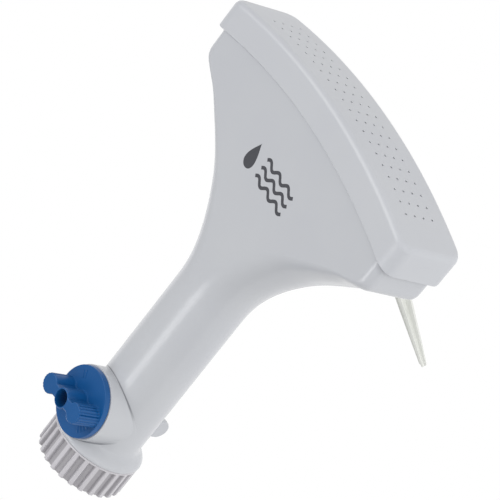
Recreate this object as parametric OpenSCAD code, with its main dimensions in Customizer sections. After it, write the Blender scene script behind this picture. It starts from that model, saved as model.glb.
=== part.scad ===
// Garden hose fan nozzle: a flat fan head with a perforated spray face on a round handle, a quarter-turn
// shut-off valve with a lever knob, a swivel hose coupling and a fold-out ground spike.
// +X runs from the hose to the spray face, +Z is the knob side. The origin is the middle of the hose inlet.

/* [Handle and fan] */
// Outer radius of the handle, and half the thickness of the fan
tube_r = 14.2; // [13.8:0.1:14.6]
// Wall thickness of the moulded body
wall = 2.2; // [1.8:0.1:2.4]
// Where the handle starts to widen into the fan
flare_x = 86.5; // [84:0.5:88]
// Half the width of the fan's shoulders
shoulder_y = 62.3; // [62:0.1:62.6]
// Edge radius of the shoulders
shoulder_round = 4.5; // [4:0.1:5]

/* [Spray face] */
// Radius of the curved spray face, seen from above
face_r = 268.7; // [266:0.1:270]
// Depth of the face cap from its rim to the spray face
cap_depth = 12; // [11:0.5:13]
// Half the height of the face cap
cap_z = 15.2; // [15:0.1:15.6]
// Half the width of the face cap at its rim
cap_y = 63.6; // [63.5:0.1:64]
// Number of spray hole columns across the face
hole_columns = 20; // [16:2:20]
// Number of spray hole rows
hole_rows = 4; // [2:1:4]
// Diameter of a spray hole
hole_d = 1; // [0.8:0.1:1.2]

/* [Valve] */
// Distance from the hose inlet to the knob's axis
knob_x = 28.63; // [28:0.1:29]
// Radius of the knob's disc
knob_r = 13.45; // [13:0.05:13.5]
// Radius of the valve plug
plug_r = 7.95; // [7.9:0.01:7.97]
// Radius of the water port through the plug
port_r = 4.6; // [4:0.1:4.8]
// Angle of the grip bar from the handle, 90 is closed
bar_angle = 98; // [90:1:100]

/* [Hose coupling] */
// Outer diameter of the coupling nut
nut_d = 36; // [35.5:0.5:36]
// Number of grip ribs on the nut
nut_ribs = 25; // [22:1:28]
// Radius of the threaded socket for the hose
thread_r = 13.1; // [12.9:0.1:13.2]

/* [Ground spike] */
// Length of the spike from its hinge to its tip
spike_len = 130.6; // [126:0.2:130.6]
// Angle of the opened spike from the handle
spike_open = 51.8; // [48:0.1:56]

/* [Hidden] */
$fn = 96;
far = 400;             // larger than anything it cuts

// Fan outline: a tight arc then a wide arc on each side, and a straight shoulder flank
arc1_r = 32;
arc1_a = 22;
arc2_r = 84;
arc2_a = 65;
arc_lap = 3;
arc1_y = tube_r + arc1_r;
arc2_x = flare_x + (arc1_r - arc2_r) * sin(arc1_a);
arc2_y = arc1_y - (arc1_r - arc2_r) * cos(arc1_a);
flank_a = 70.5;
flank_x = 143.9;
flank_y = 59.3;
flank_round = 5.3;
side_end_x = 151.3;

// Spray face: everything is measured from the centre of its curve
face_cx = 176.6 - face_r;
seam_r = face_r - cap_depth;
spigot_r = seam_r + 5.3;
gasket_t = 1.5;
cap_wall = 1.6;
face_t = 2.2;
cap_round = 4.5;
end_lean = 10.1;
end_x = face_cx + seam_r * cos(asin(cap_y / seam_r));
hole_step = 1.133;
hole_pitch = 4.37;

// Valve
chamber_r = 8.0;
chamber_floor = -11;
boss_r = 13.8;
boss_z = 18.2;
disc_z = 18.35;
disc_top = 20.67;
bar_top = 29.9;
lobe_r = 3.95;
lobe_reach = 8.85;
post_r = 3.9;
post_bore_r = 3.1;
waterway_r = 5.5;
groove_r = 5.75;
o_ring_r = 1.11;
o_ring_z = 7.6;
stem_r = 5.4;
retainer_r = 9.6;
retainer_z = 15.4;
stop_in = 10.2;
stop_out = 12.6;
lug_a = 16;
stop_play = 2;

// Hose end, along X from the inlet
nut_len = 12.8;
nut_ring = 0.8;
groove_w = 2.5;
groove_turn = -0.25;
nut_neck_x = 15.0;
nut_neck_r = 15.6;
thread_len = 8.0;
seat_r = 13.35;
flange_r = 12.95;
flange_x = 10.6;
flange_t = 2.1;
swivel_r = 10.9;
collar_x = 13.0;
collar_mid_x = 11.8;
collar_mid_r = 9.6;
collar_round = 8.8;
skirt_x = 15.4;
skirt_r = 16.2;
socket_r = 10.0;
socket_x = 18.5;
seal_r = 6.65;

// Ground spike and its hinge
hinge_x = 154.3;
hinge_z = -21.5;
pin_r = 2.0;
barrel_r = 4.2;
barrel_w = 7.0;
ear_w = 2.4;
ear_gap = 8.0;
clip_x = 24.9;
clip_z = -18.9;
clip_round = 3.9;
clip_gap = 3.5;
clip_w = 8.8;
fin_t = 1.5;
fin_root = 5.2;
fin_tip = 1.5;
taper_at = 54;
base_x0 = 139;
base_x1 = 159;
base_y = 16;
base_t = 2.5;
screw_x = 145.5;
screw_y = 11.5;
screw_r = 1.4;
screw_head_r = 2.7;
screw_tip_z = -5.5;
pillar_r = 3.6;
washer_t = 0.4;

grey = [0.757, 0.765, 0.780];
nut_grey = [0.715, 0.715, 0.725];
blue = [0.10, 0.32, 0.62];
clear_white = [0.85, 0.86, 0.84];
black = [0.12, 0.12, 0.12];
steel_grey = [0.75, 0.75, 0.76];

// A cylinder along X from x0 to x1
module bar_x(x0, x1, r) translate([x0, 0, 0]) rotate([0, 90, 0]) cylinder(h = x1 - x0, r = r);

// A ring along X
module ring_x(x0, x1, r_out, r_in) difference() {
    bar_x(x0, x1, r_out);
    bar_x(x0 - 1, x1 + 1, r_in);
}

// A cylinder along Y, centred on y = 0
module bar_y(x, z, r, w) translate([x, 0, z]) rotate([90, 0, 0]) cylinder(h = w, r = r, center = true);

// A ring of round section around +Z
module o_ring(r_mid, r_cord) rotate_extrude() translate([r_mid, 0]) circle(r = r_cord);

// Section of a round-edged slab, from its outer edge inwards
module slab_edge(half_h, round, depth) {
    translate([round, -half_h]) square([depth - round, 2 * half_h]);
    translate([0, round - half_h]) square([depth, 2 * (half_h - round)]);
    for (s = [-1, 1]) translate([round, s * (half_h - round)]) circle(r = round);
}

// Section swept round the fan's side: a half round edge with the flat fan behind it
module side_section(arc_r, t) translate([arc_r + tube_r, 0]) {
    circle(r = tube_r - t);
    translate([0, t - tube_r]) square([far, 2 * (tube_r - t)]);
}

// One side of the fan up to the middle plane, inset by t; it ends inside the shoulders
module fan_side(t) intersection() {
    translate([0, 0, -far / 2]) cube([side_end_x, far, far]);
    union() {
        translate([flare_x, arc1_y, 0]) rotate(-90)
            rotate_extrude(angle = arc1_a) side_section(arc1_r, t);
        translate([arc2_x, arc2_y, 0]) rotate(arc1_a - arc_lap - 90)
            rotate_extrude(angle = arc2_a - arc1_a + arc_lap) side_section(arc2_r, t);
    }
}

// A long slab with one round edge along the line through x, y at angle a; the slab lies on its right
module edged_slab(x, y, a, half_h, round, t)
    translate([x, y, 0]) rotate(a) translate([-far / 2, -t, 0]) rotate([0, 90, 0]) rotate(-90)
        linear_extrude(height = far) slab_edge(half_h - t, round - t, far);

// Both sides of a shape that is drawn for the +Y side only
module both_sides() for (s = [0, 1]) mirror([0, s, 0]) children();

// The square shoulders at the mouth, inset by t
module shoulders(t) intersection() {
    edged_slab(0, shoulder_y, 0, tube_r, shoulder_round, t);
    mirror([0, 1, 0]) edged_slab(0, shoulder_y, 0, tube_r, shoulder_round, t);
    edged_slab(flank_x, flank_y, flank_a, tube_r, flank_round, t);
    mirror([0, 1, 0]) edged_slab(flank_x, flank_y, flank_a, tube_r, flank_round, t);
}

// The whole fan as a solid, inset by t, cut off at radius r from the face's centre
module fan(t, r) intersection() {
    translate([face_cx, 0, 0]) cylinder(h = far, r = r, center = true);
    union() {
        both_sides() fan_side(t);
        shoulders(t);
    }
}

// The face cap's outline, inset by t, between two radii from the face's centre
module cap_block(t, r0, r1) intersection() {
    translate([face_cx, 0, 0]) difference() {
        cylinder(h = far, r = r1, center = true);
        cylinder(h = far + 2, r = r0, center = true);
    }
    translate([0, -far / 2, -far / 2]) cube(far);
    edged_slab(end_x, cap_y, end_lean, cap_z, cap_round, t);
    mirror([0, 1, 0]) edged_slab(end_x, cap_y, end_lean, cap_z, cap_round, t);
}

// Raised round collar that hides the swivel
module collar() intersection() {
    bar_x(collar_x, knob_x, collar_mid_r + collar_round + 1);
    union() {
        translate([collar_mid_x, 0, 0]) rotate([0, 90, 0]) o_ring(collar_mid_r, collar_round);
        bar_x(collar_x, knob_x, tube_r - 1);
    }
}

// Two rounded prongs under the handle that hold the tip of the folded spike
module spike_clip() difference() {
    union() {
        bar_y(clip_x, clip_z, clip_round, clip_w);
        translate([clip_x - clip_round, -clip_w / 2, clip_z])
            cube([2 * clip_round, clip_w, -clip_z - tube_r + 2]);
    }
    translate([clip_x - 10, -clip_gap / 2, clip_z - 10]) cube([20, clip_gap, 12]);
}

// One moulding: handle, fan, valve housing and collar, hollow for the water
module body() color(grey) difference() {
    union() {
        bar_x(collar_x + 1, flare_x + 1, tube_r);
        collar();
        fan(0, seam_r);
        cap_block(cap_wall + 0.05, seam_r - 6, spigot_r);
        translate([knob_x, 0, 0]) cylinder(h = boss_z, r = boss_r);
        spike_clip();
    }
    difference() {
        union() {
            bar_x(48, flare_x + 1, tube_r - wall);
            translate([41, 0, 0]) rotate([0, 90, 0]) cylinder(h = 7.01, r1 = waterway_r, r2 = tube_r - wall);
            fan(wall, spigot_r + 1);
        }
        for (s = [-1, 1]) translate([screw_x, s * screw_y, 0])
            cylinder(h = 2 * tube_r, r = pillar_r, center = true);
    }
    bar_x(socket_x, 41.5, waterway_r);
    bar_x(socket_x - 0.1, knob_x - 5, seal_r);
    bar_x(skirt_x - 1, socket_x, socket_r);
    bar_x(collar_x - 1, skirt_x, skirt_r);
    translate([knob_x, 0, chamber_floor]) cylinder(h = far, r = chamber_r);
    translate([knob_x, 0, retainer_z]) cylinder(h = far, r = retainer_r);
    stop_groove();
    for (s = [-1, 1]) translate([screw_x, s * screw_y, screw_tip_z - far]) cylinder(h = far, r = screw_r);
}

// Groove in the boss that limits the knob to a quarter turn
module stop_groove() translate([knob_x, 0, retainer_z]) rotate(90 - lug_a / 2 - stop_play)
    rotate_extrude(angle = 90 + lug_a + 2 * stop_play) translate([stop_in, 0])
        square([stop_out - stop_in, far]);

// Curved cap with the spray holes, welded over the body's mouth
module spray_face() color([0.79, 0.79, 0.80]) difference() {
    cap_block(0, seam_r, face_r);
    cap_block(cap_wall, seam_r - 1, spigot_r + gasket_t);
    cap_block(cap_wall * 2, seam_r - 1, face_r - face_t);
    for (i = [0 : hole_columns - 1], j = [0 : hole_rows - 1])
        translate([face_cx, 0, (j - (hole_rows - 1) / 2) * hole_pitch])
            rotate([0, 90, (i - (hole_columns - 1) / 2) * hole_step])
                translate([0, 0, seam_r]) cylinder(h = 2 * cap_depth, d = hole_d, $fn = 24);
}

// Rubber frame between the body's mouth and the ledge in the face cap
module face_gasket() color(black) difference() {
    cap_block(cap_wall + 0.05, spigot_r, spigot_r + gasket_t);
    cap_block(cap_wall * 2, spigot_r - 1, spigot_r + gasket_t + 1);
}

// Perforated plate inside the mouth that spreads the water over the whole face
module flow_spreader() color(grey) difference() {
    intersection() {
        translate([face_cx, 0, 0]) difference() {
            cylinder(h = 30, r = seam_r - 3, center = true);
            cylinder(h = 32, r = seam_r - 4.5, center = true);
        }
        edged_slab(0, shoulder_y, 0, tube_r, shoulder_round, wall + 0.05);
        mirror([0, 1, 0]) edged_slab(0, shoulder_y, 0, tube_r, shoulder_round, wall + 0.05);
        translate([0, -far / 2, -far / 2]) cube(far);
    }
    for (i = [-8 : 8], j = [-1 : 1])
        translate([face_cx, 0, 7 * j]) rotate([0, 90, 1.5 * i])
            translate([0, 0, seam_r - 8]) cylinder(h = 10, r = 2);
}

// Disc with a lever bar across it, turned by hand
module valve_knob() color(blue) translate([knob_x, 0, 0]) rotate(bar_angle) difference() {
    union() {
        translate([0, 0, disc_z]) cylinder(h = disc_top - disc_z, r = knob_r);
        translate([0, 0, disc_z]) cylinder(h = bar_top - disc_z, r = post_r);
        for (s = [-1, 1]) translate([s * lobe_reach, 0, disc_z]) cylinder(h = bar_top - disc_z, r = lobe_r);
        translate([-lobe_reach, -2.2, disc_z]) cube([2 * lobe_reach, 4.4, bar_top - disc_z]);
        rotate(-lug_a / 2) rotate_extrude(angle = lug_a)
            translate([stop_in + 0.15, retainer_z + 0.6]) square([stop_out - stop_in - 0.3, 4]);
    }
    translate([0, 0, 22.6]) cylinder(h = far, r = post_bore_r);
    translate([0, 0, 10]) cylinder(h = far, r = 1.6);
    translate([-stem_r, -1.6, disc_z - 1]) cube([2 * stem_r, 3.2, 2.6]);
}

// Fixing screw at the bottom of the knob's post
module knob_screw() color(steel_grey) translate([knob_x, 0, 0]) difference() {
    union() {
        translate([0, 0, 22.62]) cylinder(h = 1.8, r = 2.9);
        translate([0, 0, 10]) cylinder(h = 13, r = 1.45);
    }
    for (a = [0, 90]) rotate(a) translate([-1.6, -0.3, 23.6]) cube([3.2, 0.6, 2]);
}

// Ring pressed into the boss that keeps the plug down
module plug_retainer() color(grey) translate([knob_x, 0, retainer_z]) difference() {
    cylinder(h = 2.4, r = retainer_r - 0.03);
    translate([0, 0, -1]) cylinder(h = 5, r = stem_r + 0.1);
}

// Round plug with a cross port, two seal grooves and a driving key for the knob
module valve_plug() color(clear_white) translate([knob_x, 0, 0]) rotate(bar_angle) difference() {
    union() {
        translate([0, 0, chamber_floor + 0.1]) cylinder(h = retainer_z - chamber_floor - 0.2, r = plug_r);
        translate([0, 0, 10]) cylinder(h = disc_z - 0.1 - 10, r = stem_r);
        translate([-stem_r + 0.1, -1.5, 12]) cube([2 * stem_r - 0.2, 3, disc_z + 1.4 - 12]);
    }
    rotate([0, 90, 0]) cylinder(h = 40, r = port_r, center = true);
    for (s = [-1, 1]) translate([0, 0, s * o_ring_z]) difference() {
        cylinder(h = 2.6, r = 20, center = true);
        cylinder(h = 4, r = groove_r, center = true);
    }
    translate([0, 0, 9.9]) cylinder(h = 20, r = 1.46);
}

// Seals above and below the port
module upper_o_ring() color(black) translate([knob_x, 0, o_ring_z]) o_ring(groove_r + o_ring_r, o_ring_r);
module lower_o_ring() color(black) translate([knob_x, 0, -o_ring_z]) o_ring(groove_r + o_ring_r, o_ring_r);

// Rubber ring that presses on the plug round the inlet port
module port_seal() color(black) difference() {
    ring_x(socket_x, knob_x - 6, seal_r - 0.05, waterway_r - 0.5);
    translate([knob_x, 0, 0]) cylinder(h = far, r = plug_r + 0.05, center = true);
}

// Flanged tube fixed in the body, on which the coupling nut swivels
module tailpiece() color(grey) difference() {
    union() {
        bar_x(flange_x, flange_x + flange_t, flange_r);
        bar_x(flange_x, skirt_x - 0.05, swivel_r);
        bar_x(flange_x, socket_x - 0.1, socket_r - 0.03);
    }
    bar_x(0, far, 7);
    ring_x(15.45, 17.15, 12, 8.4);
}

// Seal between the tailpiece and the body
module tailpiece_o_ring() color(black) translate([16.3, 0, 0]) rotate([0, 90, 0]) o_ring(9.19, 0.78);

// Swivel nut with moulded grip ribs and a round socket for the hose thread
module coupling_nut() color(nut_grey) difference() {
    union() {
        bar_x(0, nut_len, nut_d / 2);
        bar_x(nut_len - 1, nut_neck_x - 0.1, nut_neck_r);
    }
    bar_x(-1, thread_len, thread_r);
    bar_x(thread_len, flange_x + flange_t + 0.15, seat_r);
    bar_x(0, far, swivel_r + 0.08);
    for (i = [0 : nut_ribs - 1]) rotate([(i + groove_turn) * 360 / nut_ribs, 0, 0])
        translate([-1, -groove_w / 2, nut_d / 2 - 1.1]) cube([nut_len - nut_ring + 1, groove_w, 5]);
}

// Flat rubber washer that seals on the hose
module hose_washer() color(black) ring_x(thread_len + 0.05, flange_x - 0.1, seat_r - 0.1, 8.2);

// Cup-shaped strainer held by the hose washer
module filter_screen() color(clear_white) difference() {
    union() {
        bar_x(thread_len + 0.05, flange_x - 0.1, 8.1);
        bar_x(thread_len + 0.05, 17.5, 6.6);
    }
    bar_x(0, 16.7, 5.9);
    for (i = [0 : 5]) rotate([i * 30, 0, 0]) translate([flange_x, -1.1, -10]) cube([5.4, 2.2, 20]);
    for (y = [-1 : 1], z = [-1 : 1]) translate([10, 3 * y, 3 * z]) rotate([0, 90, 0])
        cylinder(h = 20, r = 0.8);
}

// One blade of the spike: straight, then tapered to a blunt tip
module spike_blade(x0) rotate([90, 0, 0]) linear_extrude(height = fin_t, center = true)
    polygon([[x0, -fin_root], [taper_at, -fin_root], [spike_len, -fin_tip], [spike_len, fin_tip],
             [taper_at, fin_root], [x0, fin_root]]);

// Cross-shaped stake that swings out to stand the nozzle in the ground
module spike() color(clear_white) translate([hinge_x, 0, hinge_z]) rotate([0, 180 - spike_open, 0])
difference() {
    union() {
        for (s = [-1, 1]) rotate([45 * s, 0, 0]) spike_blade(barrel_r + 3);
        rotate([90, 0, 0]) cylinder(h = barrel_w, r = barrel_r, center = true);
        translate([0, -barrel_w / 2, -3]) cube([barrel_r + 5, barrel_w, 6]);
    }
    rotate([90, 0, 0]) cylinder(h = 20, r = pin_r + 0.06, center = true);
}

// Hinge bracket screwed to the back of the fan
module spike_bracket() color(grey) difference() {
    union() {
        translate([base_x0, -base_y, -tube_r - base_t]) cube([base_x1 - base_x0, 2 * base_y, base_t]);
        for (s = [-1, 1]) translate([0, s * (ear_gap + ear_w) / 2, 0]) {
            bar_y(hinge_x, hinge_z, barrel_r + 0.6, ear_w);
            translate([hinge_x - barrel_r - 0.6, -ear_w / 2, hinge_z])
                cube([2 * barrel_r + 1.2, ear_w, -hinge_z - tube_r - 1]);
        }
    }
    bar_y(hinge_x, hinge_z, pin_r + 0.03, 40);
    for (s = [-1, 1]) translate([screw_x, s * screw_y, -20]) {
        cylinder(h = 10, r = screw_r + 0.2);
        cylinder(h = 20 - tube_r - base_t + 1.4, r = screw_head_r + 0.1);
    }
}

// Hinge pin with a round head
module hinge_pin() color(steel_grey) {
    bar_y(hinge_x, hinge_z, pin_r, ear_gap + 2 * ear_w + 3);
    translate([0, -ear_gap / 2 - ear_w - 0.85, 0]) bar_y(hinge_x, hinge_z, pin_r + 1.3, 1.6);
}

// Push-on ring at the pin's other end
module pin_clip() color(steel_grey) translate([0, ear_gap / 2 + ear_w + 0.5, 0]) difference() {
    bar_y(hinge_x, hinge_z, pin_r + 1.6, 0.8);
    bar_y(hinge_x, hinge_z, pin_r + 0.02, 3);
}

// Thin washers on both sides of the spike
module hinge_washers() color(black) for (s = [-1, 1]) translate([0, s * (ear_gap - washer_t - 0.04) / 2, 0])
    difference() {
        bar_y(hinge_x, hinge_z, barrel_r - 0.4, washer_t);
        bar_y(hinge_x, hinge_z, pin_r + 0.05, 3);
    }

// Two self-tapping screws that hold the bracket
module bracket_screws() color(steel_grey) for (s = [-1, 1])
    translate([screw_x, s * screw_y, -tube_r - base_t]) difference() {
        union() {
            cylinder(h = 1.35, r = screw_head_r);
            translate([0, 0, 0.5]) cylinder(h = screw_tip_z + tube_r + base_t - 0.6, r = screw_r - 0.02);
        }
        for (a = [0, 90]) rotate(a) translate([-1.6, -0.3, -1]) cube([3.2, 0.6, 1.7]);
    }

body();
spray_face();
face_gasket();
flow_spreader();
valve_knob();
knob_screw();
plug_retainer();
valve_plug();
upper_o_ring();
lower_o_ring();
port_seal();
tailpiece();
tailpiece_o_ring();
coupling_nut();
hose_washer();
filter_screen();
spike();
spike_bracket();
hinge_pin();
pin_clip();
hinge_washers();
bracket_screws();
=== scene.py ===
import math

import bmesh
import bpy
from mathutils import Matrix, Vector


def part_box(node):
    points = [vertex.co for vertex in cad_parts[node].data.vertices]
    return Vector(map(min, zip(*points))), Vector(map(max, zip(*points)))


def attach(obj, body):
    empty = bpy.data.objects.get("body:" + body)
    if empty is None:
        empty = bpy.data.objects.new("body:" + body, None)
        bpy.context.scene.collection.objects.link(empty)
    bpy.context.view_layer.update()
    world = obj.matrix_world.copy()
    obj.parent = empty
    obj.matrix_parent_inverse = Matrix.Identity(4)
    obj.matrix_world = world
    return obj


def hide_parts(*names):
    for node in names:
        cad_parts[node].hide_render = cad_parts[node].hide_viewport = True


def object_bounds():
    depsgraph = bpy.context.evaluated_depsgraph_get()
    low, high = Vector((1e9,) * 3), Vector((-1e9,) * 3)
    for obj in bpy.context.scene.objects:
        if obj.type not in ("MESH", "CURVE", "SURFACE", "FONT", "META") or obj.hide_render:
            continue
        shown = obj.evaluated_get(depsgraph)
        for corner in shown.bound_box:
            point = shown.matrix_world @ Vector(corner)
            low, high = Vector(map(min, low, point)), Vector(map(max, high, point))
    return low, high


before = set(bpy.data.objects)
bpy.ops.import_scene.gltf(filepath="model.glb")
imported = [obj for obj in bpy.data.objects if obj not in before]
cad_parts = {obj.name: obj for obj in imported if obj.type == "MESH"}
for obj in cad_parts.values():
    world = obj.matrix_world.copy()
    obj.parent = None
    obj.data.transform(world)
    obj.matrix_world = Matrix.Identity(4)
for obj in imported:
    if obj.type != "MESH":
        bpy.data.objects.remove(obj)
cad_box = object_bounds()

# ---------------------------------------------------------------- Body
# The round handle, the flat fan, the valve boss and the collar are one hollow injection moulding in ABS.
# Two prongs under the handle take the tip of the folded spike. Its mould is polished, so it is smooth,
# with soft edges.
MM = 0.001
TUBE_R = 14.2
RING = 120
FACE_CENTRE_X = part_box("spray_face")[1][0] / MM - 268.7
SEAM_R = 256.7
KNOB_X = 28.63
BOSS_R = 13.8
BOSS_TOP = 18.2
BOSS_LIP = 3.0
COLLAR_BACK, COLLAR_SKIRT_R, COLLAR_EDGE_R = 12.95, 16.45, 17.8
BORE = [(41.0, 5.5), (18.5, 5.5), (18.5, 10.03), (15.4, 10.03), (15.4, 16.2), (13.2, 16.2)]
COLLAR = [(12.95, 17.95), (13.1, 18.12), (13.5, 18.22), (14.2, 18.0), (15.2, 17.3), (16.1, 16.45),
          (16.9, 15.6), (17.6, 14.95), (18.2, 14.55), (18.9, 14.32), (20.5, 14.22), (86.5, 14.2)]
FAN_WIDTH = [(86.5, 14.2), (90.5, 14.55), (95.0, 15.4), (100.0, 17.1), (105.0, 19.45), (110.0, 22.4),
             (115.0, 25.9), (120.0, 29.8), (125.0, 34.3), (130.0, 39.6), (135.5, 46.0), (140.7, 52.3),
             (143.8, 57.9), (145.1, 60.2), (146.7, 61.75), (149.0, 62.3), (160.0, 62.3)]
FAN_EDGE = [(86.5, 14.2), (112.0, 14.2), (120.0, 13.9), (126.0, 12.7), (132.0, 10.6), (138.0, 8.0),
            (143.0, 5.6), (148.0, 4.4), (160.0, 4.2)]
BEND_FROM, BEND_RUN, BEND_STEPS, MOUTH_IN = 149.5, 10.0, 6, 3.0


def flowing(knots, x):
    """The value at x of a smooth curve through the knots, which never overshoots them."""
    if x <= knots[0][0]:
        return knots[0][1]
    if x >= knots[-1][0]:
        return knots[-1][1]
    slopes = [(b[1] - a[1]) / (b[0] - a[0]) for a, b in zip(knots, knots[1:])]
    tangents = [slopes[0]]
    for before, after in zip(slopes, slopes[1:]):
        same_way = before * after > 0
        tangents.append(2 * before * after / (before + after) if same_way else 0.0)
    tangents.append(slopes[-1])
    i = max(k for k in range(len(slopes)) if knots[k][0] <= x)
    run = knots[i + 1][0] - knots[i][0]
    t = (x - knots[i][0]) / run
    return ((2 * t**3 - 3 * t**2 + 1) * knots[i][1] + (t**3 - 2 * t**2 + t) * run * tangents[i]
            + (3 * t**2 - 2 * t**3) * knots[i + 1][1] + (t**3 - t**2) * run * tangents[i + 1])


def next_ring(bm, ring, edges, points):
    """Extrudes a closed ring of edges and moves the new ring to the points."""
    grown = bmesh.ops.extrude_edge_only(bm, edges=edges)["geom"]
    fresh = {v for v in grown if isinstance(v, bmesh.types.BMVert)} - set(ring)
    new_ring = [next(e.other_vert(v) for e in v.link_edges if e.other_vert(v) in fresh) for v in ring]
    for vert, point in zip(new_ring, points):
        vert.co = Vector(point) * MM
    new_edges = [e for v in new_ring for e in v.link_edges if e.other_vert(v) in fresh]
    return new_ring, list(dict.fromkeys(new_edges))


def skin(bm, rings, close_first=True, close_last=True):
    """A skin over closed rings of points, each in mm, made by extruding the first ring on to the others."""
    ring = [bm.verts.new(Vector(point) * MM) for point in rings[0]]
    edges = [bm.edges.new((ring[k - 1], ring[k])) for k in range(len(ring))]
    if close_first:
        bm.faces.new(ring)
    for points in rings[1:]:
        ring, edges = next_ring(bm, ring, edges, points)
    if close_last:
        bm.faces.new(ring)
    return ring, edges


def circle_x(x, r, count=RING):
    """A ring of points round the handle's axis."""
    turns = [2 * math.pi * (k + 0.5) / count for k in range(count)]
    return [(x, r * math.cos(a), r * math.sin(a)) for a in turns]


def fan_ring(x):
    """The fan's section at x: a slab with round edges."""
    half, edge = flowing(FAN_WIDTH, x), min(flowing(FAN_EDGE, x), flowing(FAN_WIDTH, x))
    points = []
    for k in range(RING):
        a = 2 * math.pi * (k + 0.5) / RING
        y = math.copysign(half - edge, math.cos(a)) + edge * math.cos(a)
        z = math.copysign(TUBE_R - edge, math.sin(a)) + edge * math.sin(a)
        points.append((x, y, z))
    return points


def finished(bm, name, body, smooth_below=40.0, weighted=True):
    """Makes the bmesh an object that rides on a CAD body, with round edges smooth and others crisp."""
    bmesh.ops.remove_doubles(bm, verts=bm.verts, dist=1e-7)
    bmesh.ops.recalc_face_normals(bm, faces=bm.faces)
    mesh = bpy.data.meshes.new(name)
    bm.to_mesh(mesh)
    bm.free()
    mesh.shade_smooth()
    mesh.set_sharp_from_angle(angle=math.radians(smooth_below))
    piece = bpy.data.objects.new(name, mesh)
    bpy.context.scene.collection.objects.link(piece)
    if weighted:
        normals = piece.modifiers.new("Even shading", "WEIGHTED_NORMAL")
        normals.keep_sharp = True
    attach(piece, body)
    return piece


shell = bmesh.new()
rings = [circle_x(x, r) for x, r in BORE]
rings += [circle_x(COLLAR_BACK, COLLAR_SKIRT_R), circle_x(COLLAR_BACK, COLLAR_EDGE_R)]
rings += [circle_x(x / 100, flowing(COLLAR, x / 100)) for x in range(1295, 2140, 30)]
rings += [circle_x(22, TUBE_R)]
rings += [circle_x(x, TUBE_R) for x in range(25, 86, 6)]
rings += [fan_ring(x / 4) for x in range(346, 599, 3)]
rings += [fan_ring(BEND_FROM + BEND_RUN * step / BEND_STEPS) for step in range(1, BEND_STEPS + 1)]
skin(shell, rings)
for y in range(-60, 61, 5):
    bmesh.ops.bisect_plane(shell, geom=shell.verts[:] + shell.edges[:] + shell.faces[:], dist=1e-7,
                           plane_co=(0, y * MM, 0), plane_no=(0, 1, 0))
for vert in shell.verts:
    share = (vert.co.x / MM - BEND_FROM) / BEND_RUN
    if share > 0:
        mouth = FACE_CENTRE_X + math.sqrt((SEAM_R + MOUTH_IN) ** 2 - (vert.co.y / MM) ** 2)
        vert.co.x = (BEND_FROM + share * (mouth - BEND_FROM)) * MM

# The valve boss, with a small edge at the top and a small fillet that follows the handle at the foot.
# FOOT_LIMIT keeps the fillet inside the handle's width.
FOOT, FOOT_STEPS, FOOT_LIMIT, FOOT_SINK, BOSS_EDGE = 0.3, 6, 14.1, 0.6, 0.3


def handle_height(x, y):
    """Height of the handle's surface over a point of the middle plane."""
    return math.sqrt(max(flowing(COLLAR, x) ** 2 - y * y, 0.04))


def boss_foot(share, sink=0.0):
    """One ring of the boss's foot fillet, from share 0 on the boss to share 1 on the handle."""
    points = []
    for k in range(RING):
        a = 2 * math.pi * (k + 0.5) / RING
        across = abs(math.sin(a))
        on_handle = handle_height(KNOB_X + BOSS_R * math.cos(a), BOSS_R * math.sin(a))
        size = min(FOOT, FOOT_LIMIT / max(across, 0.01) - BOSS_R, BOSS_TOP - 0.15 - on_handle)
        r = BOSS_R + size * (1 - math.cos(share * math.pi / 2))
        x, y = KNOB_X + r * math.cos(a), r * math.sin(a)
        points.append((x, y, handle_height(x, y) + size * (1 - math.sin(share * math.pi / 2)) - sink))
    return points


def circle_z(z, r, x=KNOB_X, y=0.0, count=RING):
    """A ring of points round an upright axis."""
    turns = [2 * math.pi * (k + 0.5) / count for k in range(count)]
    return [(x + r * math.cos(a), y + r * math.sin(a), z) for a in turns]


boss_rings = [circle_z(BOSS_TOP, BOSS_R - BOSS_LIP), circle_z(BOSS_TOP, BOSS_R - BOSS_EDGE),
              circle_z(BOSS_TOP - 0.3 * BOSS_EDGE, BOSS_R - 0.3 * BOSS_EDGE),
              circle_z(BOSS_TOP - BOSS_EDGE, BOSS_R)]
boss_rings += [boss_foot(step / FOOT_STEPS) for step in range(FOOT_STEPS + 1)]
boss_rings += [boss_foot(1.0, sink=FOOT_SINK)]
skin(shell, boss_rings)

# The two prongs of the spike clip
CLIP_X, CLIP_Z, CLIP_ROUND = 24.7, -18.9, 3.9
PRONG_FROM, PRONG_TO, PRONG_ROOT = 1.75, 4.4, 1.2


def prong_ring(y, inset):
    """The outline of a prong, half round at its end, drawn in by inset."""
    r = CLIP_ROUND - inset
    arc = [(CLIP_X + r * math.cos(math.pi * k / 16), y, CLIP_Z - r * math.sin(math.pi * k / 16))
           for k in range(17)]
    return arc + [(CLIP_X - r, y, PRONG_ROOT - TUBE_R), (CLIP_X + r, y, PRONG_ROOT - TUBE_R)]


for side in (-1, 1):
    inner, outer = side * PRONG_FROM, side * PRONG_TO
    skin(shell, [prong_ring(inner, 0.5), prong_ring(inner + side * 0.12, 0.15),
                 prong_ring(inner + side * 0.4, 0.0), prong_ring(outer - side * 0.7, 0.0),
                 prong_ring(outer - side * 0.2, 0.2), prong_ring(outer, 0.7)])


def linear(hex_colour):
    """An sRGB hex colour as linear RGBA."""
    channels = [int(hex_colour[i:i + 2], 16) / 255 for i in (0, 2, 4)]
    return tuple(c / 12.92 if c <= 0.04045 else ((c + 0.055) / 1.055) ** 2.4 for c in channels) + (1.0,)


def add(tree, kind, settings=(), links=()):
    """Adds a node. Settings are (socket or attribute, value), links are (socket, source node, output)."""
    node = tree.nodes.new(kind)
    for key, value in settings:
        if isinstance(key, str) and hasattr(node, key):
            setattr(node, key, value)
        else:
            node.inputs[key].default_value = value
    for socket, source, output in links:
        tree.links.new(source.outputs[output], node.inputs[socket])
    return node


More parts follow.
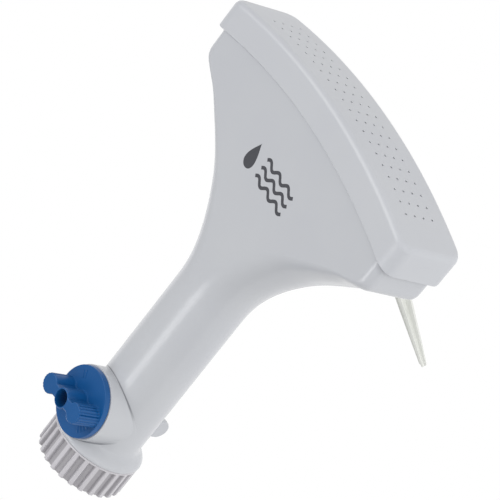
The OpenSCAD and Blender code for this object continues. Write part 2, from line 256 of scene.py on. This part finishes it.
TONES_PER_METRE, SCUFFS_PER_METRE, PEEL_STRENGTH = 28.0, 160.0, 0.12


def moulded_plastic(name, colour, shade, roughness, ior=1.5, grain_mm=0.9, grain_height=0.012):
    """Injection-moulded plastic: slow drifts of tone from the flow of the melt, faint scuffs that dull the
    gloss, and a fine orange peel, which is grain_mm wide and grain_height mm deep."""
    material = bpy.data.materials.new(name)
    material.use_nodes = True
    tree = material.node_tree
    tree.nodes.clear()
    place = add(tree, "ShaderNodeTexCoord")
    flow = add(tree, "ShaderNodeTexNoise",
               [("Scale", TONES_PER_METRE), ("Detail", 3.0), ("Roughness", 0.55)],
               [("Vector", place, "Object")])
    tone = add(tree, "ShaderNodeValToRGB", links=[("Fac", flow, "Fac")])
    tone.color_ramp.elements[0].position, tone.color_ramp.elements[0].color = 0.3, linear(shade)
    tone.color_ramp.elements[1].position, tone.color_ramp.elements[1].color = 0.7, linear(colour)
    scuff = add(tree, "ShaderNodeTexNoise",
                [("Scale", SCUFFS_PER_METRE), ("Detail", 5.0), ("Roughness", 0.65)],
                [("Vector", place, "Object")])
    gloss = add(tree, "ShaderNodeMapRange",
                [("From Min", 0.3), ("From Max", 0.7), ("To Min", roughness - 0.02),
                 ("To Max", roughness + 0.03)], [("Value", scuff, "Fac")])
    peel = add(tree, "ShaderNodeTexNoise", [("Scale", 1000.0 / grain_mm), ("Detail", 2.0)],
               [("Vector", place, "Object")])
    bump = add(tree, "ShaderNodeBump", [("Strength", PEEL_STRENGTH), ("Distance", grain_height * MM)],
               [("Height", peel, "Fac")])
    shader = add(tree, "ShaderNodeBsdfPrincipled", [("IOR", ior)],
                 [("Base Color", tone, "Color"), ("Roughness", gloss, "Result"), ("Normal", bump, "Normal")])
    add(tree, "ShaderNodeOutputMaterial", links=[("Surface", shader, "BSDF")])
    return material


def painted_shade_band(material, centre, across_axis, near, far, colour, above=None):
    """Paints shade: darkens the plastic between two distances in mm from an axis, with a soft start and end.
    across_axis has a 0 for the axis itself. With above, two heights in mm, the band fades in between."""
    tree = material.node_tree
    shader = next(n for n in tree.nodes if n.type == "BSDF_PRINCIPLED")
    place = next(n for n in tree.nodes if n.type == "TEX_COORD")
    tone = shader.inputs["Base Color"].links[0].from_node
    moved = add(tree, "ShaderNodeVectorMath", [("operation", "SUBTRACT"), (1, Vector(centre) * MM)],
                [(0, place, "Object")])
    across = add(tree, "ShaderNodeVectorMath", [("operation", "MULTIPLY"), (1, across_axis)],
                 [(0, moved, "Vector")])
    radius = add(tree, "ShaderNodeVectorMath", [("operation", "LENGTH")], [(0, across, "Vector")])
    soft = (far - near) * 0.25
    rise = add(tree, "ShaderNodeMapRange", [("From Min", near * MM), ("From Max", (near + soft) * MM)],
               [("Value", radius, "Value")])
    fall = add(tree, "ShaderNodeMapRange", [("From Min", far * MM), ("From Max", (far - soft) * MM)],
               [("Value", radius, "Value")])
    both = add(tree, "ShaderNodeMath", [("operation", "MULTIPLY")],
               [(0, rise, "Result"), (1, fall, "Result")])
    if above:
        parts = add(tree, "ShaderNodeSeparateXYZ", links=[("Vector", place, "Object")])
        high = add(tree, "ShaderNodeMapRange", [("From Min", above[0] * MM), ("From Max", above[1] * MM)],
                   [("Value", parts, "Z")])
        both = add(tree, "ShaderNodeMath", [("operation", "MULTIPLY")],
                   [(0, both, "Value"), (1, high, "Result")])
    mixed = add(tree, "ShaderNodeMix", [("data_type", "RGBA"), (7, linear(colour))],
                [(0, both, "Value"), (6, tone, "Color")])
    tree.links.new(mixed.outputs[2], shader.inputs["Base Color"])


BODY_GREY, BODY_GREY_SHADE, BODY_ROUGHNESS = "bbbdc1", "b8babf", 0.22
grey_abs = moulded_plastic("Moulded ABS, light grey", BODY_GREY, BODY_GREY_SHADE, BODY_ROUGHNESS)
# The same light grey plastic, with painted shade in the corner at the foot of the boss
abs_with_painted_shade = moulded_plastic("Moulded ABS, light grey with painted shade in the corner", BODY_GREY, BODY_GREY_SHADE,
                            BODY_ROUGHNESS)
# Painted shade: the plastic is darker in the corner at the foot of the boss, on the upper side of the handle
painted_shade_band(abs_with_painted_shade, (KNOB_X, 0, 0), (1.0, 1.0, 0.0), BOSS_R + 0.02, BOSS_R + 0.7, "85878c",
            above=(5.5, 9.5))
body = finished(shell, "body_moulding", "housing")
body.data.materials.append(abs_with_painted_shade)
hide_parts("body")

# ---------------------------------------------------------------- Face cap
# A second ABS moulding, welded over the body's mouth: a curved box with softly rounded edges. Slender
# core pins in its mould leave four rows of spray holes in the front wall.
CAP_Z, CAP_Y, CAP_DEPTH = 15.2, 65.5, 12.0
CAP_CORNER, CAP_FILLET, RIM_EDGE, CAP_WALL, FACE_WALL = 5.5, 2.2, 0.45, 1.6, 2.2
HOLE_COLUMNS, HOLE_ROWS, HOLE_STEP, HOLE_PITCH, HOLE_R = 20, 4, math.radians(1.133), 4.37, 0.5
PIN_LEN = 8.0


def edges_where(bm, test):
    """The edges whose two ends both pass the test, which reads a point in mm."""
    return [e for e in bm.edges if all(test(v.co / MM) for v in e.verts)]


cap = bmesh.new()
bmesh.ops.create_cube(cap, size=1.0)
bmesh.ops.scale(cap, vec=Vector((CAP_DEPTH, 2 * CAP_Y, 2 * CAP_Z)) * MM, verts=cap.verts)
bmesh.ops.translate(cap, vec=(CAP_DEPTH / 2 * MM, 0, 0), verts=cap.verts)
deep = [e for e in cap.edges if abs(e.verts[0].co.x - e.verts[1].co.x) > 1 * MM]
bmesh.ops.bevel(cap, geom=deep, offset=CAP_CORNER * MM, segments=8, profile=0.5, affect="EDGES",
                material=-1)
back = next(f for f in cap.faces if f.normal.x < -0.9)
bmesh.ops.inset_region(cap, faces=[back], thickness=CAP_WALL * MM)
pocket = bmesh.ops.extrude_face_region(cap, geom=[back])["geom"]
bmesh.ops.delete(cap, geom=[back], context="FACES_ONLY")
bmesh.ops.translate(cap, vec=((CAP_DEPTH - FACE_WALL) * MM, 0, 0),
                    verts=[v for v in pocket if isinstance(v, bmesh.types.BMVert)])
front = edges_where(cap, lambda p: p.x > CAP_DEPTH - 0.01)
bmesh.ops.bevel(cap, geom=front, offset=CAP_FILLET * MM, segments=6, profile=0.5, affect="EDGES",
                material=-1)
rim = edges_where(cap, lambda p: p.x < 0.01 and (abs(p.z) > CAP_Z - 0.01 or abs(p.y) > CAP_Y - 0.01
                                                 or math.hypot(abs(p.y) - CAP_Y + CAP_CORNER,
                                                               abs(p.z) - CAP_Z + CAP_CORNER)
                                                 > CAP_CORNER - 0.2))
bmesh.ops.bevel(cap, geom=rim, offset=RIM_EDGE * MM, segments=3, profile=0.5, affect="EDGES", material=-1)
for y in range(-58, 59, 4):
    bmesh.ops.bisect_plane(cap, geom=cap.verts[:] + cap.edges[:] + cap.faces[:], dist=1e-7,
                           plane_co=(0, y * MM, 0), plane_no=(0, 1, 0))
for vert in cap.verts:
    # The flat box is bent, so that each depth lies on a circle round the centre of the face's curve
    depth, y, z = vert.co / MM
    x = FACE_CENTRE_X + math.sqrt((SEAM_R + depth) ** 2 - y * y)
    vert.co = Vector((x, y, z)) * MM
face_cap = finished(cap, "face_cap", "housing")

pins = bmesh.new()
for column in range(HOLE_COLUMNS):
    for row in range(HOLE_ROWS):
        turn = (column - (HOLE_COLUMNS - 1) / 2) * HOLE_STEP
        height = (row - (HOLE_ROWS - 1) / 2) * HOLE_PITCH
        place = (Matrix.Translation((FACE_CENTRE_X * MM, 0, height * MM))
                 @ Matrix.Rotation(turn, 4, "Z") @ Matrix.Translation(((SEAM_R + CAP_DEPTH) * MM, 0, 0))
                 @ Matrix.Rotation(math.pi / 2, 4, "Y"))
        bmesh.ops.create_cone(pins, cap_ends=True, segments=16, radius1=HOLE_R * MM, radius2=HOLE_R * MM,
                              depth=PIN_LEN * MM, matrix=place)
pin_mesh = bpy.data.meshes.new("core_pins")
pins.to_mesh(pin_mesh)
pins.free()
core_pins = bpy.data.objects.new("core_pins", pin_mesh)
bpy.context.scene.collection.objects.link(core_pins)
drill = face_cap.modifiers.new("Spray holes", "BOOLEAN")
drill.operation, drill.solver, drill.object = "DIFFERENCE", "EXACT", core_pins
face_cap.modifiers.move(1, 0)
drilled = bpy.data.meshes.new_from_object(face_cap.evaluated_get(bpy.context.evaluated_depsgraph_get()))
face_cap.modifiers.remove(drill)
face_cap.data = drilled
drilled.name = "face_cap"
drilled.set_sharp_from_angle(angle=math.radians(40))
bpy.data.objects.remove(core_pins)
drilled.materials.clear()
drilled.materials.append(moulded_plastic("Moulded ABS, face grey", "bdbfc3", "babcc1", 0.36))
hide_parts("spray_face")

# ---------------------------------------------------------------- Coupling nut
# The swivel nut is moulded in a slightly warmer grey polypropylene and turns on the tailpiece. Its grip
# ribs end at a plain ring beside the collar, and its socket has three and a half turns of hose thread.
NUT_LEN, NUT_R, NUT_RIBS, GROOVE_DEPTH, GROOVE_END = 12.85, 18.0, 25, 1.3, 11.95
THREAD_R, THREAD_LEN, THREAD_PITCH, SEAT_R, NECK_BORE = 13.1, 8.0, 2.2, 13.35, 10.98
NUT_NECK_X, NUT_NECK_R, SEAT_X = 14.9, 15.6, 12.85
PER_RIB, GROOVE_SHARE, GROOVE_FLANK = 16, 0.56, 0.08
THREAD_DEPTH, THREAD_STEPS = 0.75, 26


def nut_ring(x, r, groove=0.0):
    """A ring of the nut at radius r, with its grooves sunk by groove."""
    points = []
    for k in range(NUT_RIBS * PER_RIB):
        a = 2 * math.pi * (k + 0.5) / (NUT_RIBS * PER_RIB)
        share = 1 - abs(((k + 0.5) / PER_RIB) % 1 - 0.5) * 2
        sunk = min(max((GROOVE_SHARE - share) / GROOVE_FLANK + 0.5, 0.0), 1.0)
        points.append((x, (r - groove * sunk) * math.cos(a), (r - groove * sunk) * math.sin(a)))
    return points


def thread_ring(x, fade):
    """A ring of the socket, where the crest of the thread winds round once in a pitch."""
    points = []
    for k in range(NUT_RIBS * PER_RIB):
        turn = (k + 0.5) / (NUT_RIBS * PER_RIB)
        wave = abs(((x / THREAD_PITCH + turn) % 1) - 0.5) * 2
        r = THREAD_R - THREAD_DEPTH * fade * min(max(1.6 * wave - 0.5, 0.0), 1.0)
        points.append((x, r * math.cos(2 * math.pi * turn), r * math.sin(2 * math.pi * turn)))
    return points


nut = bmesh.new()
nut_rings = [nut_ring(0.0, THREAD_R + 0.6), nut_ring(0.0, NUT_R - 0.5, GROOVE_DEPTH - 0.45),
             nut_ring(0.12, NUT_R - 0.2, GROOVE_DEPTH - 0.2), nut_ring(0.45, NUT_R, GROOVE_DEPTH)]
nut_rings += [nut_ring(x, NUT_R, GROOVE_DEPTH) for x in (3.0, 6.0, 9.0, GROOVE_END - 0.15)]
nut_rings += [nut_ring(GROOVE_END, NUT_R, GROOVE_DEPTH - 0.1), nut_ring(GROOVE_END + 0.12, NUT_R, 0.12),
              nut_ring(GROOVE_END + 0.2, NUT_R), nut_ring(NUT_LEN - 0.25, NUT_R),
              nut_ring(NUT_LEN - 0.07, NUT_R - 0.07), nut_ring(NUT_LEN, NUT_R - 0.25),
              nut_ring(NUT_LEN, NUT_NECK_R), nut_ring(NUT_NECK_X, NUT_NECK_R),
              nut_ring(NUT_NECK_X, NECK_BORE), nut_ring(SEAT_X, NECK_BORE), nut_ring(SEAT_X, SEAT_R),
              nut_ring(THREAD_LEN, SEAT_R)]
nut_rings += [thread_ring(THREAD_LEN - THREAD_LEN * k / THREAD_STEPS,
                          min(k / 3, 1.0, (THREAD_STEPS - k) / 4)) for k in range(THREAD_STEPS + 1)]
nut_rings += [nut_ring(0.0, THREAD_R + 0.6)]
skin(nut, nut_rings, close_first=False, close_last=False)
coupling_nut = finished(nut, "coupling_nut_ribbed", "coupling", smooth_below=35)
nut_grey_with_painted_shade = moulded_plastic("Moulded polypropylene, nut grey", "c3c1c5", "bab8bd", 0.42, grain_mm=0.7)
# The grooves are painted darker than the ribs: painted shade in the recesses
painted_shade_band(nut_grey_with_painted_shade, (0, 0, 0), (0.0, 1.0, 1.0), NUT_R - GROOVE_DEPTH - 0.4, NUT_R - 0.2, "a9a7ab")
coupling_nut.data.materials.append(nut_grey_with_painted_shade)
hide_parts("coupling_nut")

# ---------------------------------------------------------------- Valve knob
# A disc with a fluted lever across it, moulded in blue ABS. A screw at the bottom of its hollow post
# holds it on the valve plug. Plain raised bars on the disc mark the turn.
BAR_ANGLE = math.radians(98)
DISC_Z, DISC_TOP, BAR_TOP, KNOB_R = 18.23, 20.67, 29.9, 13.35
LOBE_R, LOBE_REACH, WEB_HALF, POST_R, POST_BORE, POST_FLOOR = 3.95, 8.85, 2.2, 3.9, 3.2, 24.1
FLUTES, FLUTE_DEPTH, FLUTED_HALF, LOBE_STEPS, POST_STEPS = 9, 0.62, math.radians(84), 84, 12
BAR_REACH, BAR_SIZE, BAR_GAP = 9.9, (2.8, 0.55, 0.3), math.radians(9)
BARS = [(math.radians(-58), 2), (math.radians(32), 1), (math.radians(145), 5)]


def lever_ring(z, inset, flute=1.0):
    """The lever's outline: two lobes with fluted ends, a web and the post between them."""
    lobe, web, post = LOBE_R - inset, WEB_HALF - inset, POST_R - inset
    half = []
    meet = math.pi - math.asin(web / lobe)
    for k in range(LOBE_STEPS + 1):
        a = -meet + 2 * meet * k / LOBE_STEPS
        wave = abs(math.sin(FLUTES * math.pi * (a + FLUTED_HALF) / (2 * FLUTED_HALF)))
        cut = flute * FLUTE_DEPTH * (1 - wave ** 0.6) if abs(a) < FLUTED_HALF else 0.0
        half.append((LOBE_REACH + (lobe - cut) * math.cos(a), (lobe - cut) * math.sin(a)))
    turn_in = math.asin(web / post)
    for k in range(POST_STEPS + 1):
        a = turn_in + (math.pi - 2 * turn_in) * k / POST_STEPS
        half.append((post * math.cos(a), post * math.sin(a)))
    outline = half + [(-x, -y) for x, y in half]
    c, s = math.cos(BAR_ANGLE), math.sin(BAR_ANGLE)
    return [(KNOB_X + x * c - y * s, x * s + y * c, z) for x, y in outline]


knob = bmesh.new()
lever_rings = [lever_ring(DISC_TOP - 0.3, -0.5, 0.6), lever_ring(DISC_TOP + 0.05, -0.3, 0.8),
               lever_ring(DISC_TOP + 0.3, -0.08), lever_ring(DISC_TOP + 0.6, 0.0),
               lever_ring((DISC_TOP + BAR_TOP) / 2, 0.03), lever_ring(BAR_TOP - 0.5, 0.06)]
lever_rings += [lever_ring(BAR_TOP - 0.5 + 0.5 * math.sin(k * math.pi / 8),
                           0.06 + 0.4 * (1 - math.cos(k * math.pi / 8)), 1 - k / 5) for k in range(1, 5)]
outer_ring, outer_edges = skin(knob, lever_rings, close_last=False)
bore_rings = [circle_z(z, r, count=48) for z, r in ((BAR_TOP, POST_BORE + 0.12),
                                                    (BAR_TOP - 0.15, POST_BORE),
                                                    (POST_FLOOR, POST_BORE - 0.08))]
mouth = [knob.verts.new(Vector(point) * MM) for point in bore_rings[0]]
mouth_edges = [knob.edges.new((mouth[k - 1], mouth[k])) for k in range(len(mouth))]
bmesh.ops.triangle_fill(knob, use_beauty=True, use_dissolve=False, edges=outer_edges + mouth_edges)
ring, edges = mouth, mouth_edges
for points in bore_rings[1:]:
    ring, edges = next_ring(knob, ring, edges, points)
knob.faces.new(ring)
skin(knob, [circle_z(DISC_Z, POST_BORE), circle_z(DISC_Z, KNOB_R - 0.35),
            circle_z(DISC_Z + 0.1, KNOB_R - 0.1), circle_z(DISC_Z + 0.35, KNOB_R),
            circle_z(DISC_TOP - 0.35, KNOB_R), circle_z(DISC_TOP - 0.1, KNOB_R - 0.1),
            circle_z(DISC_TOP, KNOB_R - 0.35), circle_z(DISC_TOP, POST_R - 1)])
for from_lever, count in BARS:
    for n in range(count):
        a = BAR_ANGLE + from_lever + BAR_GAP * (n - (count - 1) / 2)
        place = (Matrix.Translation((KNOB_X * MM, 0, (DISC_TOP + 0.06) * MM)) @ Matrix.Rotation(a, 4, "Z")
                 @ Matrix.Translation((BAR_REACH * MM, 0, 0)) @ Matrix.Diagonal((*BAR_SIZE, 1)))
        mark = bmesh.ops.create_cube(knob, size=MM, matrix=place)["verts"]
        tops = [e for e in knob.edges if e.verts[0] in mark and e.verts[1] in mark
                and all(v.co.z > (DISC_TOP + 0.15) * MM for v in e.verts)]
        bmesh.ops.bevel(knob, geom=tops, offset=0.1 * MM, segments=2, profile=0.5, affect="EDGES",
                        material=-1)
valve_knob = finished(knob, "valve_knob_lever", "valve", smooth_below=38)
valve_knob.data.materials.append(
    moulded_plastic("Moulded ABS, blue", "0f528e", "0d4c85", 0.34, ior=1.4, grain_mm=0.7))
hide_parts("valve_knob")

# ---------------------------------------------------------------- Ground spike
# The stake is moulded in natural, milky white polypropylene. Its four blades stand in a cross and narrow
# to a blunt tip, and the barrel at its top turns on the steel hinge pin.
HINGE, SPIKE_OPEN = Vector((154.3, 0.0, -21.5)), 51.8
SPIKE_TURN = Matrix.Translation(HINGE * MM) @ Matrix.Rotation(math.radians(180 - SPIKE_OPEN), 4, "Y")
NECK_SIZE, NECK_EDGE = (7.0, 6.6, 5.8), 0.5
BLADE_T, BLADE_ROOT, SPIKE_LEN = 1.5, 5.0, 129.6
BARREL_R, BARREL_W, PIN_BORE = 4.2, 7.0, 2.06


def cross_ring(x, reach, half=BLADE_T / 2):
    """The cross section of the stake, its blades turned by 45 degrees, with rounded blade edges."""
    edge = min(0.3, reach / 4)
    blade = [(reach - edge, -half), (reach - edge * 0.3, -half + edge * 0.3), (reach, -half + edge),
             (reach, half - edge), (reach - edge * 0.3, half - edge * 0.3), (reach - edge, half),
             (half + 0.45, half), (half + 0.13, half + 0.13)]
    points = []
    for quarter in range(4):
        a = math.radians(45 + 90 * quarter)
        points += [(x, y * math.cos(a) - z * math.sin(a), y * math.sin(a) + z * math.cos(a))
                   for y, z in blade]
    return points


spike = bmesh.new()
blade_at = [(BARREL_R + 2.2, BLADE_ROOT - 1.6), (BARREL_R + 2.6, BLADE_ROOT - 0.6),
            (BARREL_R + 3.4, BLADE_ROOT - 0.05), (BARREL_R + 4.2, BLADE_ROOT), (24.0, BLADE_ROOT),
            (60.0, 3.9), (95.0, 2.7), (125.0, 1.65), (SPIKE_LEN - 1.2, 1.5), (SPIKE_LEN - 0.35, 1.3),
            (SPIKE_LEN, 1.05)]
skin(spike, [cross_ring(x, reach, min(BLADE_T / 2, reach * 0.3)) for x, reach in blade_at])


def circle_y(y, r, count=64):
    """A ring of points round the hinge pin's axis."""
    turns = [2 * math.pi * (k + 0.5) / count for k in range(count)]
    return [(r * math.cos(a), y, r * math.sin(a)) for a in turns]


half = BARREL_W / 2
barrel_at = [(-half, PIN_BORE + 0.2), (-half, BARREL_R - 0.4), (-half + 0.12, BARREL_R - 0.12),
             (-half + 0.4, BARREL_R), (half - 0.4, BARREL_R), (half - 0.12, BARREL_R - 0.12),
             (half, BARREL_R - 0.4), (half, PIN_BORE + 0.2), (half - 0.2, PIN_BORE),
             (-half + 0.2, PIN_BORE), (-half, PIN_BORE + 0.2)]
skin(spike, [circle_y(y, r) for y, r in barrel_at], close_first=False, close_last=False)
neck = bmesh.ops.create_cube(spike, size=1.0)["verts"]
bmesh.ops.scale(spike, vec=Vector(NECK_SIZE) * MM, verts=neck)
bmesh.ops.translate(spike, vec=Vector((BARREL_R + 1.4, 0, 0)) * MM, verts=neck)
neck_edges = [e for e in spike.edges if e.verts[0] in neck and e.verts[1] in neck]
bmesh.ops.bevel(spike, geom=neck_edges, offset=NECK_EDGE * MM, segments=3, profile=0.5, affect="EDGES",
                material=-1)
bmesh.ops.transform(spike, matrix=SPIKE_TURN, verts=spike.verts)
ground_spike = finished(spike, "ground_spike", "stake", smooth_below=35)
ground_spike.data.materials.append(
    moulded_plastic("Moulded polypropylene, natural", "dfe0db", "d5d7d1", 0.38, grain_height=0.004))
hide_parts("spike")

# ---------------------------------------------------------------- Print
# A plain pictogram, pad-printed on the fan in dark grey ink: a drop of water beside three waves. The ink
# is a thin flat film, a little duller than the moulding.
PRINT_AT = Vector((139.6, 1.2))
PRINT_Z = TUBE_R + 0.012
DROP_AT, DROP_R, DROP_SLENDER, DROP_STEPS = -11.4, 4.0, 1.35, 48
WAVE_FROM, WAVE_TO, WAVE_LENGTH, WAVE_HEIGHT = -4.9, 15.1, 6.67, 1.0
WAVE_ROWS, WAVE_STEPS, INK_WIDTH = (-3.7, 0.0, 3.7), 48, 1.3


def print_shape(bm, outline):
    """A flat patch of ink, facing up. Its outline runs along the print, across the handle, and up it."""
    face = bm.faces.new([bm.verts.new(Vector((PRINT_AT.x + up_it, PRINT_AT.y - along, PRINT_Z)) * MM)
                         for along, up_it in outline])
    face.normal_update()
    if face.normal.z < 0:
        face.normal_flip()


def stroke(bm, centre_line, width):
    """A line of ink of even width along a centre line, as a row of short patches."""
    left, right = [], []
    for k, (x, y) in enumerate(centre_line):
        x0, y0 = centre_line[max(k - 1, 0)]
        x1, y1 = centre_line[min(k + 1, len(centre_line) - 1)]
        away = math.hypot(x1 - x0, y1 - y0)
        nx, ny = (y0 - y1) / away * width / 2, (x1 - x0) / away * width / 2
        left.append((x + nx, y + ny))
        right.append((x - nx, y - ny))
    for k in range(len(left) - 1):
        print_shape(bm, [left[k], left[k + 1], right[k + 1], right[k]])


ink_mesh = bmesh.new()
drop = [(DROP_AT + DROP_R * math.sin(t) * math.sin(t / 2) ** 1.4, DROP_SLENDER * DROP_R * math.cos(t))
        for t in (2 * math.pi * k / DROP_STEPS for k in range(DROP_STEPS))]
print_shape(ink_mesh, drop)
for row in WAVE_ROWS:
    runs = [(WAVE_TO - WAVE_FROM) * k / WAVE_STEPS for k in range(WAVE_STEPS + 1)]
    stroke(ink_mesh, [(WAVE_FROM + run, row + WAVE_HEIGHT * math.sin(2 * math.pi * run / WAVE_LENGTH))
                      for run in runs], INK_WIDTH)
pictogram = finished(ink_mesh, "print_pictogram", "housing", weighted=False)
pictogram.data.materials.append(
    moulded_plastic("Pad-printed ink, dark grey", "404147", "393a40", 0.55, grain_mm=0.5))

# ---------------------------------------------------------------- Parts that keep their CAD shape
# Rubber seals, the steel pin, clip and screws, and the plain plastic parts inside have the right shape
# already: the hinge pin, the pin clip, the bracket screws, the tailpiece and the spike bracket get a small
# radius on their edges, and each part takes the finish of what it is made of.


def plain_finish(name, colour, shade, roughness, metallic=0.0, grain_mm=0.6):
    """Rubber or steel: tone that varies a little over the part, and uneven gloss from handling."""
    material = moulded_plastic(name, colour, shade, roughness, grain_mm=grain_mm)
    shader = next(n for n in material.node_tree.nodes if n.type == "BSDF_PRINCIPLED")
    shader.inputs["Metallic"].default_value = metallic
    return material


rubber = plain_finish("Moulded nitrile rubber, black", "2b2b2d", "232325", 0.62)
steel = plain_finish("Turned stainless steel", "b9babd", "a9aaae", 0.28, metallic=1.0)
natural_acetal = moulded_plastic("Moulded acetal, natural", "dadbd6", "d2d4ce", 0.35)
FINISHES = {rubber: ("face_gasket", "upper_o_ring", "lower_o_ring", "port_seal", "tailpiece_o_ring",
                     "hose_washer", "hinge_washers"),
            steel: ("knob_screw", "hinge_pin", "pin_clip", "bracket_screws"),
            natural_acetal: ("valve_plug", "filter_screen"),
            grey_abs: ("flow_spreader", "plug_retainer", "tailpiece", "spike_bracket")}
for material, names in FINISHES.items():
    for name in names:
        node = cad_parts[name]
        node.data.materials.clear()
        node.data.materials.append(material)
EDGE_RADIUS = {"spike_bracket": 0.35, "tailpiece": 0.2, "hinge_pin": 0.25, "pin_clip": 0.12,
               "bracket_screws": 0.2}
for name, radius in EDGE_RADIUS.items():
    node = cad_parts[name]
    join = node.modifiers.new("Join the corners", "WELD")
    join.merge_threshold = 1e-6
    soften = node.modifiers.new("Moulded edge", "BEVEL")
    soften.width, soften.segments, soften.limit_method = radius * MM, 2, "ANGLE"
    soften.angle_limit = math.radians(45)

# ---------------------------------------------------------------- Studio
# A backlit white floor that runs on as the backdrop, and a wide overhead diffuser. The line light draws
# the bright line along the handle, the rim light the edge of the cap, and a low fill lights the right side.
FLOOR_GAP, FLOOR_HALF, AMBIENT = 0.002, 6.0, 0.42
floor_mesh = bmesh.new()
bmesh.ops.create_grid(floor_mesh, x_segments=4, y_segments=4, size=FLOOR_HALF,
                      matrix=Matrix.Translation((0, 0, cad_box[0][2] - FLOOR_GAP)))
floor_data = bpy.data.meshes.new("floor")
floor_mesh.to_mesh(floor_data)
floor_mesh.free()
floor = bpy.data.objects.new("floor", floor_data)
bpy.context.scene.collection.objects.link(floor)
paper = bpy.data.materials.new("Backlit acrylic, white")
paper.use_nodes = True
paper.node_tree.nodes.clear()
glow = add(paper.node_tree, "ShaderNodeEmission", [("Color", linear("ffffff")), ("Strength", 1.0)])
add(paper.node_tree, "ShaderNodeOutputMaterial", links=[("Surface", glow, "Emission")])
floor.data.materials.append(paper)

world = bpy.data.worlds.new("Studio")
bpy.context.scene.world = world
world.use_nodes = True
world.node_tree.nodes["Background"].inputs["Color"].default_value = linear("ffffff")
world.node_tree.nodes["Background"].inputs["Strength"].default_value = AMBIENT


def softbox(name, target, direction, distance, size, power, mirrored=True):
    """A rectangular area light that faces a point of the object from a direction. When it isn't mirrored
    it is cross-polarised, so that glossy surfaces don't show it."""
    data = bpy.data.lights.new(name, "AREA")
    data.shape, data.size, data.size_y, data.energy = "RECTANGLE", size[0], size[1], power
    lamp = bpy.data.objects.new(name, data)
    lamp.visible_glossy = mirrored
    towards = Vector(direction).normalized()
    lamp.matrix_world = (Matrix.Translation(Vector(target) + towards * distance)
                         @ towards.to_track_quat("Z", "Y").to_matrix().to_4x4())
    bpy.context.scene.collection.objects.link(lamp)
    return lamp


softbox("Line light", (0.09, -0.01, 0.014), (-0.413, -0.083, 0.904), 1.0, (0.35, 0.36), 1.5)
softbox("Rim light", (0.15, 0, 0.015), (-0.82, 0.55, 0.12), 1.2, (0.3, 0.4), 1.6)
softbox("Overhead diffuser", (0.09, 0, 0), (0.3, 0.5, 1.0), 1.6, (1.2, 1.2), 15.2)
softbox("Side fill", (0.09, 0, 0), (0.5, -1.0, 0.25), 1.4, (1.0, 0.8), 9.9, mirrored=False)

bpy.context.scene.view_settings.view_transform = "Standard"

camera_data = bpy.data.cameras.new("Camera")
camera_data.lens, camera_data.sensor_width = 216.24, 36.0
camera_data.clip_start, camera_data.clip_end = 0.05, 20.0
camera = bpy.data.objects.new("Camera", camera_data)
CAMERA_AT = (0.5453, -0.62567, 0.72848)
right = Vector((0.5643, -0.429, -0.7054))
up = Vector((0.7146, 0.6816, 0.1572))
back = Vector((0.4134, -0.5928, 0.6912))
camera.matrix_world = Matrix.Translation(CAMERA_AT) @ Matrix((right, up, back)).transposed().to_4x4()
bpy.context.scene.collection.objects.link(camera)
bpy.context.scene.camera = camera
